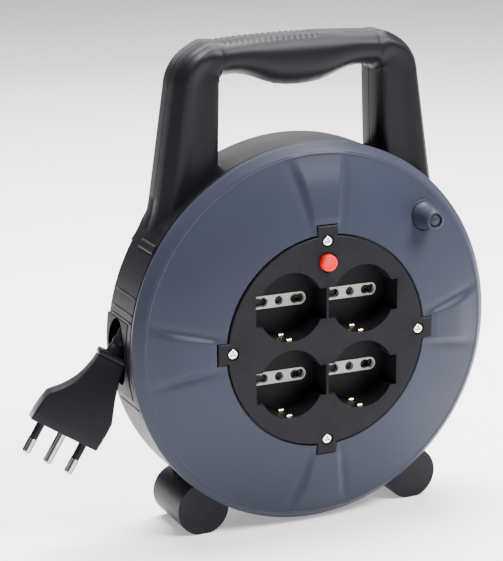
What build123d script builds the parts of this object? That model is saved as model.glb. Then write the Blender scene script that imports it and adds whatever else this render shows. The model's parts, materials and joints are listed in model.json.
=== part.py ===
from build123d import *
import math
import os

# Household cassette extension reel: a fixed casing with a carrying handle and two feet, and a
# turning drum that carries the wound cable and four outlets.  Millimetres.
# X is to the right and Z is up for a person facing the outlets; Y is the depth, away from them.
# The drum turns about a line along Y, axis_z above the table.

# ---- driving dimensions -------------------------------------------------------------------
disc_r = 108.5           # front disc, outer radius
casing_r = 108.0         # casing rim, outer radius
rim_wall = 3.5           # casing rim wall
foot_r = 15.3            # round feet that run from front to back
foot_x = 66.0            # foot centre, either side
foot_drop = 95.4         # foot centre below the drum's axis
foot_flat = 0.5          # height of the flat that each foot stands on
axis_z = foot_drop + foot_r - foot_flat
knob_reach = 6.5         # how far the knob stands in front of the socket plate
body_depth = 68.5        # knob tip to the back of the casing
plate_y = -body_depth / 2 + knob_reach     # the socket plate's front face

# depths behind the socket plate's front face
casing_front = 21.2
casing_back = 58.5
back_wall = 2.6
handle_front = 30.0
handle_back = 60.0
parting = (handle_front + handle_back) / 2

# drum
plate_r = 59.4           # socket plate radius
plate_t = 3.0            # socket plate thickness, and depth of its seat
tab_w = 11.9             # screw tabs on the plate's edge
tab_r = 65.2             # reach of the tabs
fit = 0.3                # gap round parts that drop into a seat
disc_t = 2.3             # disc wall
hub_r = 64.0             # drum barrel, outer radius
hub_wall = 2.4
flange_r = 97.5          # rear flange of the drum
flange_y = 50.6          # front face of the rear flange
flange_t = 2.2
screw_ring = 56.8        # plate screws

# outlets
socket_pitch = 43.8      # centre to centre, across and up
cup_r = 19.45
cup_wall = 1.9
cup_depth = 17.0
ear_x = 21.2             # keying notches left and right of a cup
ear_z = 8.7
strip_x = 16.4           # pale insert with the pin holes
strip_z = 3.7
schuko_pin = 9.5         # pin centres from the middle of an outlet
large_pin = 13.0
pin_hole = 2.65

# spindle that the drum turns on
spindle_r = 8.0
running_gap = 0.05

# cable and plug
cable_d = 6.8
turns_across = 5
layers = 4
winding_start = 15.9     # depth of the winding's front side
cable_y = 39.5           # depth of the lead's run to the plug
guide_y = 42.0           # cable guide in the rim: depth and height of its middle
guide_z = -6.0
guide_w = 30.0
guide_h = 44.0
pin_r = 2.5
pin_length = 19.0
pin_spacing = 13.0

winding_r0 = hub_r + 0.2
winding_r1 = winding_r0 + layers * cable_d
winding_w = turns_across * cable_d

centre = (0, plate_y, axis_z)
spin_axis = Axis(centre, (0, 1, 0))
sockets = [(sx * socket_pitch / 2, sz * socket_pitch / 2) for sz in (1, -1) for sx in (-1, 1)]
button_at = (0, 44.8)
button_r = 4.7
button_out = 3.2         # how far the reset button stands out of the plate
knob_at = (63.3, 62.8)
cover_screws_at = [(-46, 0), (46, 0), (0, -46)]
handle_screws_at = [(-61, 146), (61, 146), (-68, 93), (68, 93)]
foot_screws_at = [(-foot_x, -foot_drop), (foot_x, -foot_drop)]
casing_screws_at = handle_screws_at + foot_screws_at


# ---- planes and small helpers --------------------------------------------------------------
def face(depth):
    """Plane across the drum's axis, x right and y up; extrude by a negative amount to go back."""
    return Plane(origin=(0, plate_y + depth, axis_z), x_dir=(1, 0, 0), z_dir=(0, -1, 0))


def section():
    """Half-section plane: x is the radius, y is the depth behind the plate's face."""
    return Plane(origin=centre, x_dir=(1, 0, 0), z_dir=(0, 0, 1))


def on_circle(radius, degrees):
    return (radius * math.cos(math.radians(degrees)), radius * math.sin(math.radians(degrees)))


def place(x, depth, z):
    """A point given from the drum's axis and the plate's face, in the part's frame."""
    return (x, plate_y + depth, axis_z + z)


def keep(builder, label):
    builder.part.label = label
    export_step(builder.part, "parts/" + label + ".step")


def turned(points):
    """Solid of revolution about the drum's axis from a closed radius/depth outline."""
    with BuildPart() as piece:
        with BuildSketch(section()):
            with BuildLine():
                Polyline(*points, close=True)
            make_face()
        revolve(axis=spin_axis)
    return piece


def screw(x, z, head_y, head_r, head_t, shank_r, length, direction, recess):
    """Pan-head screw along Y: direction 1 drives it backwards, -1 drives it forwards."""
    top = face(head_y)
    with BuildPart() as piece:
        with BuildSketch(top):
            with Locations((x, z)):
                Circle(head_r)
        extrude(amount=-direction * head_t)
        outer = piece.edges().filter_by(GeomType.CIRCLE).sort_by(Axis.Y)
        fillet(outer[0] if direction > 0 else outer[-1], head_t * 0.6)
        with BuildSketch(face(head_y + direction * head_t)):
            with Locations((x, z)):
                Circle(shank_r)
        extrude(amount=-direction * length)
        tip = piece.edges().filter_by(GeomType.CIRCLE).sort_by(Axis.Y)
        chamfer(tip[-1] if direction > 0 else tip[0], shank_r * 0.6)
        with BuildSketch(top):
            with Locations((x, z)):
                if recess == "three lobes":
                    with PolarLocations(head_r * 0.3, 3, start_angle=90):
                        SlotOverall(head_r * 0.72, head_r * 0.3)
                else:
                    Rectangle(head_r * 1.1, head_r * 0.26)
                    Rectangle(head_r * 0.26, head_r * 1.1)
        extrude(amount=-direction * head_t * 0.6, mode=Mode.SUBTRACT)
    return piece


def group(label, pieces):
    """Several equal, separate solids written as one node."""
    with BuildPart() as fasteners:
        for piece in pieces:
            add(piece.part)
    keep(fasteners, label)


os.makedirs("parts", exist_ok=True)


# ---- front disc ---------------------------------------------------------------------------
dome_in = (60.2, 0.4)
dome_mid = (82.3, 5.2)
dome_out = (103.0, 12.7)
shoulder = (104.4, 13.3)
rim_front = 17.4
rim_back = 19.9
fan_rise = 1.7
seat_r = 8.4             # round seat that the winding knob turns in
seat_y = 8.4
knob_r = 7.9

with BuildPart() as fans:
    with BuildSketch(section()):
        with BuildLine():
            ThreePointArc((66.5, 2.4), (84.0, 5.7 - fan_rise), (102.6, 12.9))
            ThreePointArc((102.6, 12.9), (84.0, 7.0), (66.5, 2.4))
        make_face()
    revolve(axis=spin_axis)
    with BuildSketch(face(-5)):
        with PolarLocations(0, 4):
            with BuildLine():
                ThreePointArc((64, 6.3), (86, 9.4), (106, 14.0))
                Line((106, 14.0), (106, -14.0))
                ThreePointArc((106, -14.0), (86, -9.4), (64, -6.3))
                Line((64, -6.3), (64, 6.3))
            make_face()
    extrude(amount=-25, mode=Mode.INTERSECT)

with BuildPart() as front_disc:
    with BuildSketch(section()):
        with BuildLine():
            ThreePointArc(dome_in, dome_mid, dome_out)
            Line(dome_out, shoulder)
            Line(shoulder, (disc_r, rim_front))
            Line((disc_r, rim_front), (disc_r, rim_back))
            Line((disc_r, rim_back), (disc_r - disc_t, rim_back))
            Line((disc_r - disc_t, rim_back), (disc_r - disc_t, rim_front + 1.0))
            Line((disc_r - disc_t, rim_front + 1.0), (102.6, 15.2))
            ThreePointArc((102.6, 15.2), (82.6, 7.9), (68.5, 5.2))
            Line((68.5, 5.2), (54.0, 5.2))
            Line((54.0, 5.2), (54.0, plate_t))
            Line((54.0, plate_t), (60.2, plate_t))
            Line((60.2, plate_t), dome_in)
        make_face()
    revolve(axis=spin_axis)
    add(fans.part)
    # pockets for the plate's screw tabs
    with BuildSketch(face(-3)):
        with PolarLocations((58 + tab_r + fit) / 2, 4):
            Rectangle(tab_r + fit - 58, tab_w + 2 * fit)
    extrude(amount=-(3 + plate_t), mode=Mode.SUBTRACT)
    with BuildSketch(face(plate_t - 1)):
        with PolarLocations(screw_ring, 4):
            Circle(2.2)
    extrude(amount=-8, mode=Mode.SUBTRACT)
    # level seat for the winding knob, and the hole that its pin is pressed into
    with BuildSketch(face(seat_y)):
        with Locations(knob_at):
            Circle(seat_r)
    extrude(amount=-6.6)
    with BuildSketch(face(-3)):
        with Locations(knob_at):
            Circle(seat_r)
    extrude(amount=-(seat_y + 3), mode=Mode.SUBTRACT)
    with BuildSketch(face(5)):
        with Locations(knob_at):
            Circle(2.5)
    extrude(amount=-12, mode=Mode.SUBTRACT)
keep(front_disc, "front_disc")


# ---- drum barrel with its rear flange -------------------------------------------------------
barrel_front = 5.2
web_back = flange_y + flange_t
hub_bore = spindle_r + running_gap
with BuildPart() as drum_hub:
    add(turned([
        (hub_r, barrel_front), (hub_r, flange_y), (flange_r, flange_y), (flange_r, web_back),
        (12.5, web_back), (12.5, web_back + 0.4), (hub_bore, web_back + 0.4), (hub_bore, 44.2),
        (12.5, 44.2), (12.5, flange_y), (hub_r - hub_wall, flange_y), (hub_r - hub_wall, barrel_front),
    ]).part)
    # bosses that the plate screws bite into
    with BuildSketch(face(barrel_front)):
        with PolarLocations(screw_ring, 4):
            Circle(4.2)
            with Locations((3.5, 0)):
                Rectangle(4, 5)
    extrude(amount=-26)
    with BuildSketch(face(barrel_front - 1)):
        with PolarLocations(screw_ring, 4):
            Circle(1.78)
    extrude(amount=-24, mode=Mode.SUBTRACT)
    # radial stiffening ribs behind the electrical module
    with BuildSketch(face(46)):
        with PolarLocations(37, 6):
            Rectangle(50, 1.8)
    extrude(amount=-(flange_y - 46 + 0.5))
    # slot that lets the cable's inner end through the barrel
    with BuildSketch(Plane.XY.offset(axis_z - hub_r - 5)):
        with Locations((0, plate_y + 44)):
            Circle(cable_d / 2 + 0.4)
    extrude(amount=12, mode=Mode.SUBTRACT)
keep(drum_hub, "drum_hub")


# ---- socket plate with its four cups ---------------------------------------------------------
floor_t = 2.0
cup_back = cup_depth + floor_t
arm_in = 1.0             # earth spring arms, this far behind the cup's wall
arm_t = 0.6
arm_w = 4.8
bump_r = 1.5             # contact bumps on the arms
bump_w = 2.6
bump_depths = (4.2, 15.0)
with BuildPart() as socket_plate:
    with BuildSketch(face(0)):
        Circle(plate_r)
        with PolarLocations(tab_r / 2, 4):
            Rectangle(tab_r, tab_w)
    extrude(amount=-plate_t)
    chamfer(socket_plate.faces().sort_by(Axis.Y)[0].edges(), 0.5)
    with BuildSketch(face(plate_t)):
        with Locations(*sockets):
            Circle(cup_r + cup_wall)
        with Locations(*sockets):
            Rectangle(2 * ear_x + 1.0, 2 * ear_z + 2.0)
    extrude(amount=-(cup_back - plate_t))
    with BuildSketch(face(0)):
        with Locations(*sockets):
            Circle(cup_r)
        with Locations(*sockets):
            Rectangle(2 * ear_x, 2 * ear_z)
    extrude(amount=-cup_depth, mode=Mode.SUBTRACT)
    # seats for the pale inserts
    with BuildSketch(face(cup_depth - 1)):
        with Locations(*sockets):
            SlotOverall(2 * strip_x, 2 * strip_z)
    extrude(amount=-5, mode=Mode.SUBTRACT)
    # slots in the cup walls for the earth springs, and windows for their contact bumps
    for cx, cz in sockets:
        for up in (1, -1):
            with BuildSketch(face(2.2)):
                with Locations((cx, cz + up * (cup_r + arm_in))):
                    Rectangle(arm_w + 0.4, arm_t + 0.4)
            extrude(amount=-20, mode=Mode.SUBTRACT)
            for bump_y in bump_depths:
                with BuildSketch(face(bump_y - bump_r - 0.4)):
                    with Locations((cx, cz + up * cup_r)):
                        Rectangle(bump_w + 0.8, 2.4)
                extrude(amount=-2 * (bump_r + 0.4), mode=Mode.SUBTRACT)
    # reset button guide
    with BuildSketch(face(plate_t)):
        with Locations(button_at):
            Circle(7.0)
    extrude(amount=-1.2)
    with BuildSketch(face(-1)):
        with Locations(button_at):
            Circle(button_r + running_gap)
    extrude(amount=-7, mode=Mode.SUBTRACT)
    with BuildSketch(face(0)):
        with Locations(button_at):
            Circle(button_r + 1.1)
    extrude(amount=-0.9, mode=Mode.SUBTRACT)
    # screw holes with countersunk seats for the heads
    with BuildSketch(face(-1)):
        with PolarLocations(screw_ring, 4):
            Circle(2.2)
    extrude(amount=-7, mode=Mode.SUBTRACT)
    with BuildSketch(face(0)):
        with PolarLocations(screw_ring, 4):
            Circle(3.5)
    extrude(amount=-1.1, mode=Mode.SUBTRACT)
    # posts for the rear cover of the contacts
    with BuildSketch(face(plate_t)):
        with Locations(*cover_screws_at):
            Circle(3.6)
    extrude(amount=-(34.2 - plate_t))
    with BuildSketch(face(22)):
        with Locations(*cover_screws_at):
            Circle(1.3)
    extrude(amount=-20, mode=Mode.SUBTRACT)
keep(socket_plate, "socket_plate")


# ---- the inside of each outlet --------------------------------------------------------------
shutter_front = cup_back + 0.3
shutter_t = 1.8
shutter_travel = 4.4
contact_front = shutter_front + shutter_t + 0.5
earth_y = 27.0
live_y = 30.0
neutral_y = 32.2
bar_t = 0.8

for number, (cx, cz) in enumerate(sockets, start=1):
    # pale insert: earth hole in the middle and a figure-eight hole on either side
    with BuildPart() as strip:
        with BuildSketch(face(cup_depth - 0.7)):
            with Locations((cx, cz)):
                SlotOverall(2 * strip_x - 0.2, 2 * strip_z - 0.2)
                with Locations((0, 0), (schuko_pin, 0), (-schuko_pin, 0), (large_pin, 0), (-large_pin, 0)):
                    Circle(pin_hole, mode=Mode.SUBTRACT)
        extrude(amount=-(floor_t + 0.7))
    keep(strip, f"socket_strip_{number}")

    # safety shutter: closed at rest, its windows stand one travel to the left of the holes
    with BuildPart() as shutter:
        with BuildSketch(face(shutter_front)):
            with Locations((cx - shutter_travel / 2, cz)):
                Rectangle(33.5, 6.6)
            with Locations((cx - shutter_travel - 0.4, cz)):
                SlotOverall(2 * pin_hole + 0.4, 2 * pin_hole, mode=Mode.SUBTRACT)
        extrude(amount=-shutter_t)
        with BuildSketch(face(shutter_front - 0.1)):
            with Locations((cx - shutter_travel - 0.2, cz)):
                with Locations((schuko_pin + 6.9, 0), (-schuko_pin - 1.2, 0)):
                    Rectangle(3.2, 5.0)
        extrude(amount=-shutter_t - 1, mode=Mode.SUBTRACT)
    keep(shutter, f"shutter_{number}")

    # earth spring: two arms with two contact bumps each, joined behind the shutter
    with BuildPart() as clip:
        for up in (1, -1):
            with BuildSketch(face(2.6)):
                with Locations((cx, cz + up * (cup_r + arm_in))):
                    Rectangle(arm_w, arm_t)
            extrude(amount=-(earth_y - 2.6))
            for bump_y in bump_depths:
                with BuildSketch(Plane.YZ.offset(cx - bump_w / 2)):
                    with Locations((plate_y + bump_y, axis_z + cz + up * (cup_r + 0.4))):
                        Circle(bump_r)
                        with Locations((0, up * (1.0 + bump_r / 2))):
                            Rectangle(2 * bump_r + 0.1, 2.0 + bump_r - 0.6, mode=Mode.SUBTRACT)
                extrude(amount=bump_w)
        with BuildSketch(face(earth_y)):
            with Locations((cx, cz)):
                Rectangle(arm_w, 2 * (cup_r + arm_in + arm_t / 2))
        extrude(amount=-bar_t)
        with BuildSketch(face(contact_front)):
            with Locations((cx, cz)):
                Circle(pin_hole + 0.7)
                Circle(pin_hole - 0.25, mode=Mode.SUBTRACT)
        extrude(amount=-(earth_y - contact_front))
    keep(clip, f"earth_clip_{number}")


# ---- busbars ---------------------------------------------------------------------------------
def busbar(label, offset, depth, link_z):
    """Strip that joins one pole of all four outlets, with a sprung sleeve for each pin hole."""
    with BuildPart() as bar:
        with BuildSketch(face(contact_front)):
            with Locations(*[(cx + offset, cz) for cx, cz in sockets]):
                SlotOverall(10.4, 6.6)
                SlotOverall(8.6, 4.8, mode=Mode.SUBTRACT)
        extrude(amount=-(depth - contact_front))
        with BuildSketch(face(depth)):
            for sx in (-1, 1):
                with Locations((sx * socket_pitch / 2 + offset, 0)):
                    Rectangle(5.4, socket_pitch + 6.6)
            with Locations((offset, link_z)):
                Rectangle(socket_pitch, 5.0)
        extrude(amount=-bar_t)
    keep(bar, label)


pole = (schuko_pin + large_pin) / 2
busbar("live_busbar", -pole, live_y, 7.0)
busbar("neutral_busbar", pole, neutral_y, -7.0)

with BuildPart() as earth_busbar:
    with BuildSketch(face(earth_y + bar_t)):
        for side in (-1, 1):
            with Locations((side * socket_pitch / 2, 0)):
                Rectangle(4.8, socket_pitch + 5)
        Rectangle(socket_pitch, 4.6)
    extrude(amount=-bar_t)
keep(earth_busbar, "earth_busbar")


# ---- rear cover of the contacts ----------------------------------------------------------------
cover_y = 34.2
with BuildPart() as contact_cover:
    with BuildSketch(face(cover_y)):
        Circle(50.5)
        with Locations((0, 48)):
            Rectangle(26, 20, mode=Mode.SUBTRACT)
        with Locations(*cover_screws_at):
            Circle(1.7, mode=Mode.SUBTRACT)
    extrude(amount=-2.0)
    # ribs that press the busbars home
    with BuildSketch(face(neutral_y + bar_t)):
        for side in (-1, 1):
            with Locations((side * socket_pitch / 2 + pole, 0)):
                Rectangle(2.0, 30)
    extrude(amount=-(cover_y - neutral_y - bar_t))
    with BuildSketch(face(live_y + bar_t)):
        with Locations((-socket_pitch / 2 - pole, 0)):
            Rectangle(2.0, 30)
    extrude(amount=-(cover_y - live_y - bar_t))
keep(contact_cover, "contact_cover")

group("cover_screws", [
    screw(x, z, cover_y + 2.0 + 1.6, 2.9, 1.6, 1.3, 10, -1, "cross") for x, z in cover_screws_at
])


# ---- thermal cut-out, reset button and its spring ------------------------------------------------
bx, bz = button_at
cutout_front = 8.6
collar_y = 4.4           # collar that keeps the button behind the plate
collar_t = 1.2
with BuildPart() as thermal_cutout:
    with BuildSketch(face(cutout_front)):
        with Locations((bx, bz)):
            RectangleRounded(14, 12.6, 1.2)
    extrude(amount=-18)
    with BuildSketch(face(cutout_front - 1)):
        with Locations((bx, bz)):
            Circle(1.8)
    extrude(amount=-8, mode=Mode.SUBTRACT)
    # push-on terminals
    with BuildSketch(face(cutout_front + 18)):
        with Locations((bx - 4, bz), (bx + 4, bz)):
            Rectangle(0.8, 6.3)
    extrude(amount=-8)
keep(thermal_cutout, "thermal_cutout")

with BuildPart() as reset_button:
    with BuildSketch(face(-button_out)):
        with Locations(button_at):
            Circle(button_r)
    extrude(amount=-(button_out + collar_y))
    fillet(reset_button.faces().sort_by(Axis.Y)[0].edges(), 1.1)
    with BuildSketch(face(collar_y)):
        with Locations(button_at):
            Circle(button_r + 1.2)
    extrude(amount=-collar_t)
    with BuildSketch(face(collar_y + collar_t)):
        with Locations(button_at):
            Circle(1.6)
    extrude(amount=-5.0)
keep(reset_button, "reset_button")

with BuildPart() as reset_spring:
    with BuildLine():
        wire = Helix(pitch=0.85, height=2.4, radius=2.7, center=place(bx, 5.9, bz), direction=(0, 1, 0))
    with BuildSketch(Plane(origin=wire @ 0, z_dir=wire % 0)):
        Circle(0.25)
    sweep()
keep(reset_spring, "reset_spring")


# ---- winding knob and its pin ---------------------------------------------------------------
kx, kz = knob_at
knob_back = 8.1
knob_front = -knob_reach
knob_line = Axis(place(kx, 0, kz), (0, 1, 0))
knob_section = Plane(origin=place(kx, 0, kz), x_dir=(1, 0, 0), z_dir=(0, 0, 1))
with BuildPart() as winding_knob:
    with BuildSketch(knob_section):
        with BuildLine():
            Line((2.56, knob_back), (knob_r, knob_back))
            Line((knob_r, knob_back), (knob_r, knob_back - 1.4))
            ThreePointArc((knob_r, knob_back - 1.4), (6.0, 1.2), (5.3, knob_front + 1.0))
            RadiusArc((5.3, knob_front + 1.0), (4.3, knob_front), 1.0)
            Line((4.3, knob_front), (3.8, knob_front))
            Line((3.8, knob_front), (3.8, knob_front + 2.4))
            Line((3.8, knob_front + 2.4), (2.56, knob_front + 2.4))
            Line((2.56, knob_front + 2.4), (2.56, knob_back))
        make_face()
    revolve(axis=knob_line)
keep(winding_knob, "winding_knob")

with BuildPart() as knob_pin:
    with BuildSketch(knob_section):
        with BuildLine():
            Polyline((0, 14.6), (2.5, 14.6), (2.5, knob_front + 2.1), (3.4, knob_front + 2.1),
                     (3.4, knob_front + 0.05), (0, knob_front + 0.05), close=True)
        make_face()
    revolve(axis=knob_line)
    fillet(knob_pin.faces().sort_by(Axis.Y)[0].edges(), 1.2)
keep(knob_pin, "knob_pin")

group("plate_screws", [
    screw(*on_circle(screw_ring, turn), 0.1, 2.75, 1.0, 1.75, 18, 1, "three lobes")
    for turn in (0, 90, 180, 270)
])


# ---- cable inside the barrel: its end, clamp and three cores --------------------------------------
stub_y = 44.0
with BuildPart() as cable_end:
    with BuildSketch(Plane(origin=place(0, stub_y, -hub_r + 0.2), z_dir=(0, 0, 1))):
        Circle(cable_d / 2)
    extrude(amount=22)
keep(cable_end, "cable_end")

clamp_z = -52.0
with BuildPart() as cord_clamp:
    with BuildSketch(Plane(origin=place(0, stub_y, clamp_z - 4), z_dir=(0, 0, 1))):
        with Locations((0, 0.5)):
            Rectangle(24, cable_d + 4)
        Circle(cable_d / 2, mode=Mode.SUBTRACT)
        with Locations((0, 4.4)):
            Rectangle(24.1, 3.2, mode=Mode.SUBTRACT)
    extrude(amount=8)
    fillet(cord_clamp.edges().filter_by(Axis.Z).sort_by(Axis.Y)[:2], 1.5)
    with BuildSketch(face(stub_y - 7)):
        with Locations((-8.5, clamp_z), (8.5, clamp_z)):
            Circle(1.7)
    extrude(amount=-14, mode=Mode.SUBTRACT)
keep(cord_clamp, "cord_clamp")

with BuildPart() as clamp_base:
    with BuildSketch(face(stub_y + 3.6)):
        with Locations((0, clamp_z)):
            Rectangle(24, 8)
    extrude(amount=-(flange_y - stub_y - 3.6))
    with BuildSketch(face(stub_y + 3)):
        with Locations((-8.5, clamp_z), (8.5, clamp_z)):
            Circle(1.42)
    extrude(amount=-5, mode=Mode.SUBTRACT)
keep(clamp_base, "clamp_base")

group("clamp_screws", [
    screw(x, clamp_z, stub_y - 5.0 - 1.5, 2.7, 1.5, 1.4, 11, 1, "cross") for x in (-8.5, 8.5)
])


def core(label, route):
    """One insulated core from the cable's end to its busbar."""
    with BuildPart() as wire_piece:
        with BuildLine():
            run = FilletPolyline(*[place(*point) for point in route], radius=3.2)
        with BuildSketch(Plane(origin=run @ 0, z_dir=run % 0)):
            Circle(1.25)
        sweep()
    keep(wire_piece, label)


core_start = -hub_r + 22.4
core("live_core", [
    (-2.0, 44.6, core_start), (-2.0, 44.6, -34), (-12.0, 39.5, -22), (-12.0, 39.5, 30), (-4.0, 39.0, 43.0),
])
core("neutral_core", [(2.0, 44.6, core_start), (2.0, 44.6, -34), (16.0, 40.0, -20), (16.0, 38.2, -8)])
core("earth_core", [(0.0, 42.0, core_start), (0.0, 42.0, -30), (0.0, 39.5, -16), (0.0, 38.2, -6)])


# ---- the wound cable ---------------------------------------------------------------------------
with BuildPart() as cable_winding:
    with BuildSketch(section()):
        with Locations(((winding_r0 + winding_r1) / 2, winding_start + winding_w / 2)):
            Rectangle(winding_r1 - winding_r0, winding_w)
    revolve(axis=spin_axis)
    fillet(cable_winding.edges().filter_by(GeomType.CIRCLE).group_by(SortBy.RADIUS)[-1], 2.5)
keep(cable_winding, "cable_winding")


# ---- casing -----------------------------------------------------------------------------------
rim_in = casing_r - rim_wall
hub_boss_r = 19.0        # boss in the middle of the casing's back
grip_top = 164.6


def handle_outline():
    """Right half of the handle's outer edge: grip, corner, post and the flare into the rim."""
    top = JernArc(start=(0, grip_top), tangent=(1, 0), radius=650, arc_size=-4.5)
    corner = JernArc(start=top @ 1, tangent=top % 1, radius=25, arc_size=-76.8)
    post = Line(corner @ 1, (corner @ 1) + (corner % 1) * 65)
    flare = JernArc(start=post @ 1, tangent=post % 1, radius=45, arc_size=30)
    Polyline(flare @ 1, (84, 46), (0, 80), (0, grip_top))


def clear_of_rim(edge):
    """True for the handle's edges that stand outside the casing's rim."""
    middle = edge @ 0.5
    return math.hypot(middle.X, middle.Z - axis_z) > casing_r - 4


with BuildPart() as handle:
    with BuildSketch(face(handle_front)):
        with BuildLine():
            handle_outline()
        make_face()
        mirror(about=Plane.YZ)
    extrude(amount=-(handle_back - handle_front))
    with BuildSketch(face(handle_front)):
        with BuildLine():
            Spline((0, 137.0), (14.0, 138.3), (26.0, 142.6), (36.0, 145.2), (44.4, 145.0),
                   tangents=[(1, 0), (1, -0.08)])
            RadiusArc((44.4, 145.0), (47.6, 141.8), 3.2)
            Polyline((47.6, 141.8), (48.6, 90), (0, 90), (0, 137.0))
        make_face()
        mirror(about=Plane.YZ)
    extrude(amount=-(handle_back - handle_front), mode=Mode.SUBTRACT)
    # the long edges are well rounded for the hand
    ends = handle.edges().group_by(Axis.Y)
    fillet(ends[0].filter_by(clear_of_rim) + ends[-1].filter_by(clear_of_rim), 6.0)

# hollow of the handle: the same outline, one wall further in
handle_wall = 3.0
with BuildPart() as handle_core:
    with BuildSketch(face(handle_front + handle_wall)):
        with BuildLine():
            Polyline((52.3, 100), (66, 90.5), (79, 80), (75.5, 103), (70.2, 138), (64.5, 149.5),
                     (52.0, 157.5), (51.6, 143.5), (52.3, 100))
        make_face()
        mirror(about=Plane.YZ)
        with BuildLine():
            Polyline((-52.5, 158.3), (0, 161.0), (52.5, 158.3), (52.5, 149), (38, 148.8), (26, 146.2),
                     (14, 142), (0, 140.6), (-14, 142), (-26, 146.2), (-38, 148.8), (-52.5, 149), close=True)
        make_face()
    extrude(amount=-(handle_back - handle_front - 2 * handle_wall))
    chamfer(handle_core.edges().filter_by(lambda e: abs(e.tangent_at(0.5).Y) < 0.1), 1.6)

with BuildPart() as casing:
    add(turned([
        (casing_r - 1.2, casing_front), (casing_r, casing_front + 1.2), (casing_r, casing_back - 4.0),
        (casing_r - 4.0, casing_back), (hub_boss_r, casing_back), (hub_boss_r - 2, body_depth - knob_reach),
        (0, body_depth - knob_reach), (0, casing_back - back_wall), (rim_in, casing_back - back_wall),
        (rim_in, casing_front + 2.4), (101.0, casing_front + 2.4), (101.0, casing_front),
    ]).part)
    # feet
    foot_front = casing_front + 1.0
    foot_back = 60.0
    for side in (-1, 1):
        with BuildSketch(face(foot_front)):
            with Locations((side * foot_x, -foot_drop)):
                Circle(foot_r)
        extrude(amount=-(foot_back - foot_front))
    with BuildSketch(face(casing_front - 1)):
        with Locations((0, -axis_z - 10)):
            Rectangle(240, 20)
    extrude(amount=-60, mode=Mode.SUBTRACT)
    add(handle.part)
    add(handle_core.part, mode=Mode.SUBTRACT)
    # within the rim, the roots of the handle end level with the casing's back
    with BuildSketch(face(casing_back)):
        Circle(casing_r)
        Circle(hub_boss_r, mode=Mode.SUBTRACT)
        with Locations((0, -casing_r / 2)):
            Rectangle(2 * casing_r, casing_r, mode=Mode.SUBTRACT)
    extrude(amount=-(handle_back - casing_back), mode=Mode.SUBTRACT)
    # everything inside the rim stays open for the drum
    with BuildSketch(face(casing_front - 1)):
        Circle(101.0)
    extrude(amount=-4, mode=Mode.SUBTRACT)
    with BuildSketch(face(casing_front + 2.4)):
        Circle(rim_in)
    extrude(amount=-(casing_back - back_wall - casing_front - 2.4), mode=Mode.SUBTRACT)
    # hollow feet
    with BuildSketch(face(foot_front + 3)):
        with Locations(*foot_screws_at):
            Circle(foot_r - 3.2)
        Circle(casing_r + 0.5, mode=Mode.SUBTRACT)
    extrude(amount=-(foot_back - foot_front - 6), mode=Mode.SUBTRACT)
    # screw posts across the parting line
    with BuildSketch(face(handle_front + 2)):
        with Locations(*handle_screws_at):
            Circle(4.4)
    extrude(amount=-(handle_back - handle_front - 4))
    with BuildSketch(face(foot_front + 2)):
        with Locations(*foot_screws_at):
            Circle(4.4)
    extrude(amount=-(casing_back - foot_front - 2))
    with BuildSketch(face(parting - 8)):
        with Locations(*casing_screws_at):
            Circle(1.52)
    extrude(amount=-30, mode=Mode.SUBTRACT)
    with BuildSketch(face(parting + 4)):
        with Locations(*casing_screws_at):
            Circle(3.4)
    extrude(amount=-30, mode=Mode.SUBTRACT)
    # opening in the left of the rim for the cable guide
    with BuildSketch(Plane(origin=place(-125, guide_y, guide_z), x_dir=(0, 1, 0), z_dir=(1, 0, 0))):
        Rectangle(guide_w, guide_h)
    extrude(amount=40, mode=Mode.SUBTRACT)
    # seat and screw hole for the spindle
    with BuildSketch(face(casing_back - back_wall - 1)):
        Circle(2.3)
    extrude(amount=-12, mode=Mode.SUBTRACT)
    with BuildSketch(face(body_depth - knob_reach)):
        Circle(5.5)
    extrude(amount=2.2, mode=Mode.SUBTRACT)
    # shallow raised spokes on the outside of the back
    with BuildSketch(face(casing_back)):
        with PolarLocations(59, 8, start_angle=22.5):
            SlotOverall(70, 6)
    extrude(amount=-0.9)

with BuildPart() as housing_front:
    add(casing.part)
    split(bisect_by=face(parting), keep=Keep.TOP)
keep(housing_front, "housing_front")

with BuildPart() as housing_rear:
    add(casing.part)
    split(bisect_by=face(parting), keep=Keep.BOTTOM)
keep(housing_rear, "housing_rear")

group("housing_screws", [
    screw(x, z, parting + 4 + 2.2, 3.1, 2.2, 1.5, 11.5, -1, "cross") for x, z in casing_screws_at
])


# ---- cable guide in the left of the rim -------------------------------------------------------
oval_y = 42.0
oval_z = -3.0
oval_ry = 12.0
oval_rz = 17.0
with BuildPart() as cable_guide:
    add(turned([
        (casing_r + 0.3, 26.0), (casing_r + 0.3, 58.0), (rim_in - 1.2, 58.0), (rim_in - 1.2, 26.0),
    ]).part)
    with BuildSketch(Plane(origin=place(-125, guide_y, guide_z), x_dir=(0, 1, 0), z_dir=(1, 0, 0))):
        Rectangle(guide_w - 0.4, guide_h - 0.4)
    extrude(amount=40, mode=Mode.INTERSECT)
    with BuildSketch(Plane(origin=place(-110, oval_y, oval_z), x_dir=(0, 1, 0), z_dir=(1, 0, 0))):
        Ellipse(oval_ry, oval_rz)
    with BuildSketch(Plane(origin=place(-100, oval_y, oval_z), x_dir=(0, 1, 0), z_dir=(1, 0, 0))):
        Ellipse(oval_ry + 1.5, oval_rz + 6.0)
    loft(mode=Mode.SUBTRACT)
keep(cable_guide, "cable_guide")


# ---- spindle ----------------------------------------------------------------------------------
flange_face = casing_back - back_wall
with BuildPart() as spindle:
    add(turned([
        (0, 44.0), (spindle_r, 44.0), (spindle_r, 53.6), (15.0, 53.6), (15.0, flange_face), (0, flange_face),
    ]).part)
    with BuildSketch(face(43)):
        Circle(1.72)
    extrude(amount=-20, mode=Mode.SUBTRACT)
keep(spindle, "spindle")

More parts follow.
